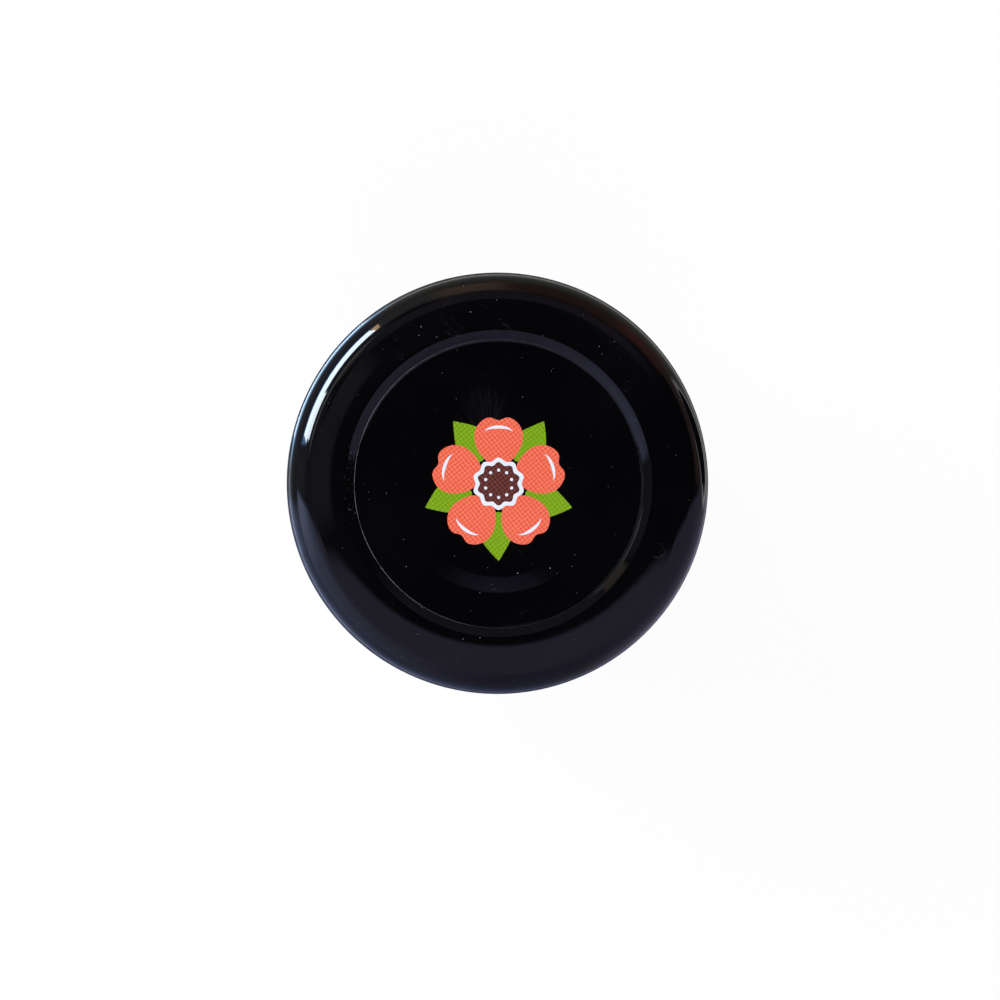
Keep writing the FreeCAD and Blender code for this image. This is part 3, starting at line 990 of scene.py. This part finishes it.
# a lilac card stands before the south side, up to just short of overhead
cardPatches = {
    "south": (168, 8, 34, 0, 30, 30, (0.205, 0.19, 0.33)),
    "west": (262, 0, 80, 0, 40, 25, (0.62, 0.72, 1.17)),
    "westEnd": (262, 0, 20, 14, 5, 25, (1.20, 1.45, 2.30)),
}
card = {"colour": (0.31, 0.285, 0.45, 1), "edge": (0.015, 0.075), "lean": 0.10}


def makePatchGroup():
    # how much of a soft patch lies in a direction
    inputs = [("Direction", "Vector")] + [(label, "Float") for label in patchInputs]
    tree, web, given, out = startGroup("softPatch", inputs, [("Mask", "Float")])
    east, north, up = web.parts(given["Direction"])
    clock = web.math("RADIANS", given["Clock"])
    level = web.math("SQRT", web.minus(1.0001, web.times(up, up)))
    toward = web.plus(web.times(east, web.math("SINE", clock)), web.times(north, web.math("COSINE", clock)))
    sideways = web.math("DEGREES", web.math("ARCCOSINE", web.over(toward, level)))
    height = web.math("DEGREES", web.math("ARCSINE", up))
    side = web.ramp(sideways, given["Half Width"], web.plus(given["Half Width"], given["Side Softness"]),
                    1.0, 0.0)
    tall = web.near(height, given["Height"], given["Half Height"],
                    web.plus(given["Half Height"], given["Softness"]))
    web.feed(out["Mask"], web.times(side, tall))
    return tree


def makeWorld():
    patchGroup = makePatchGroup()
    world = bpy.data.worlds.new("room")
    bpy.context.scene.world = world
    web = freshNodes(world)
    direction = web.add("TexCoord").outputs["Generated"]

    def painted(colour, patches):
        for *numbers, tint in patches.values():
            inputs = dict(zip(patchInputs, map(float, numbers)))
            patch = web.add("Group", {"Direction": direction, **inputs}, node_tree=patchGroup)
            colour = web.mix(patch.outputs[0], colour, (*tint, 1))
        return colour

    east, north, up = web.parts(direction)
    southward = web.times(web.plus(north, web.times(up, card["lean"])), -1.0)
    colour = web.mix(web.ramp(southward, *card["edge"]), painted(zenith, roomPatches),
                     painted(card["colour"], cardPatches))
    seen, gloss = web.rays()
    room = web.add("Background", {"Color": colour, "Strength": 1.0})
    pale = web.add("Background", {"Color": stage["white"], "Strength": 1.0})
    web.finish(web.layered(seen, room, pale), "World")


makeWorld()

# clock angle, half width, height, half height in degrees, distance in m, brightness, colour, where it shows
lamps = {
    "windowLow": (302, 19, 15.2, 9.6, 0.9, 21.5, (0.82, 0.93, 1.0), "mirror"),
    "windowHigh": (290.5, 7.5, 28.6, 4.0, 0.9, 21.5, (0.82, 0.93, 1.0), "mirror"),
    "windowEdge": (322.2, 1.2, 15.2, 8.8, 0.9, 7.0, (1.0, 0.62, 0.30), "mirror"),
    "daylight": (300, 24, 38, 18, 0.9, 4.7, (0.98, 0.99, 1.0), "light"),
    "topFill": (0, 40, 90, 40, 0.9, 1.2, (1.0, 0.99, 0.97), "light"),
    "southFill": (170, 40, 35, 22, 1.0, 1.2, (1.0, 0.98, 0.96), "light"),
}


def lookBack(item, target, toward, distance, right):
    # puts a lamp or camera at a distance from the target, looking back at it
    item.matrix_world = Matrix.Translation(target + toward * distance) @ Matrix(
        (right, toward.cross(right), toward)).transposed().to_4x4()


def makeLamps():
    for name, (clock, halfWidth, height, halfHeight, distance, brightness, colour, use) in lamps.items():
        across, up = radians(clock), radians(height)
        toward = Vector((sin(across) * cos(up), cos(across) * cos(up), sin(up)))
        right = Vector((1, 0, 0)) if height == 90 else Vector((0, 0, 1)).cross(toward).normalized()
        data = bpy.data.lights.new(name, "AREA")
        data.shape = "RECTANGLE"
        data.size = 2 * distance * tan(radians(halfWidth)) * max(cos(up), stage["lampShare"])
        data.size_y = 2 * distance * tan(radians(halfHeight))
        data.color = colour
        data.energy = brightness * data.size * data.size_y * pi
        lamp = addObject(name, data)
        lookBack(lamp, Vector((0, 0, lidHigh.z)), toward, distance, right)
        lamp.visible_camera = False
        lamp.visible_glossy = use == "mirror"
        lamp.visible_diffuse = use == "light"


makeLamps()

view = {
    "tilt": 1.0,  # degrees off the jar's axis
    "clock": 306.2,  # the side the camera leans to
    "distance": 0.3075,  # m from the hem of the lid
    "lens": 101.4,
    "aim": (0.26, -1.81),  # mm, the point beside the axis that it looks at, at the height of the hem
    "hemHeight": 48.2,
}


def makeCamera():
    tilt, clock = radians(view["tilt"]), radians(view["clock"])
    toward = Vector((sin(tilt) * sin(clock), sin(tilt) * cos(clock), cos(tilt)))
    data = bpy.data.cameras.new("camera")
    data.lens = view["lens"]
    data.clip_start = 0.01
    camera = addObject("camera", data)
    aim = Vector((view["aim"][0] * mm, view["aim"][1] * mm, view["hemHeight"] * mm))
    lookBack(camera, aim, toward, view["distance"], Vector((0, 1, 0)).cross(toward).normalized())
    bpy.context.scene.camera = camera


makeCamera()
bpy.context.scene.view_settings.view_transform = "Standard"
print("stage set")
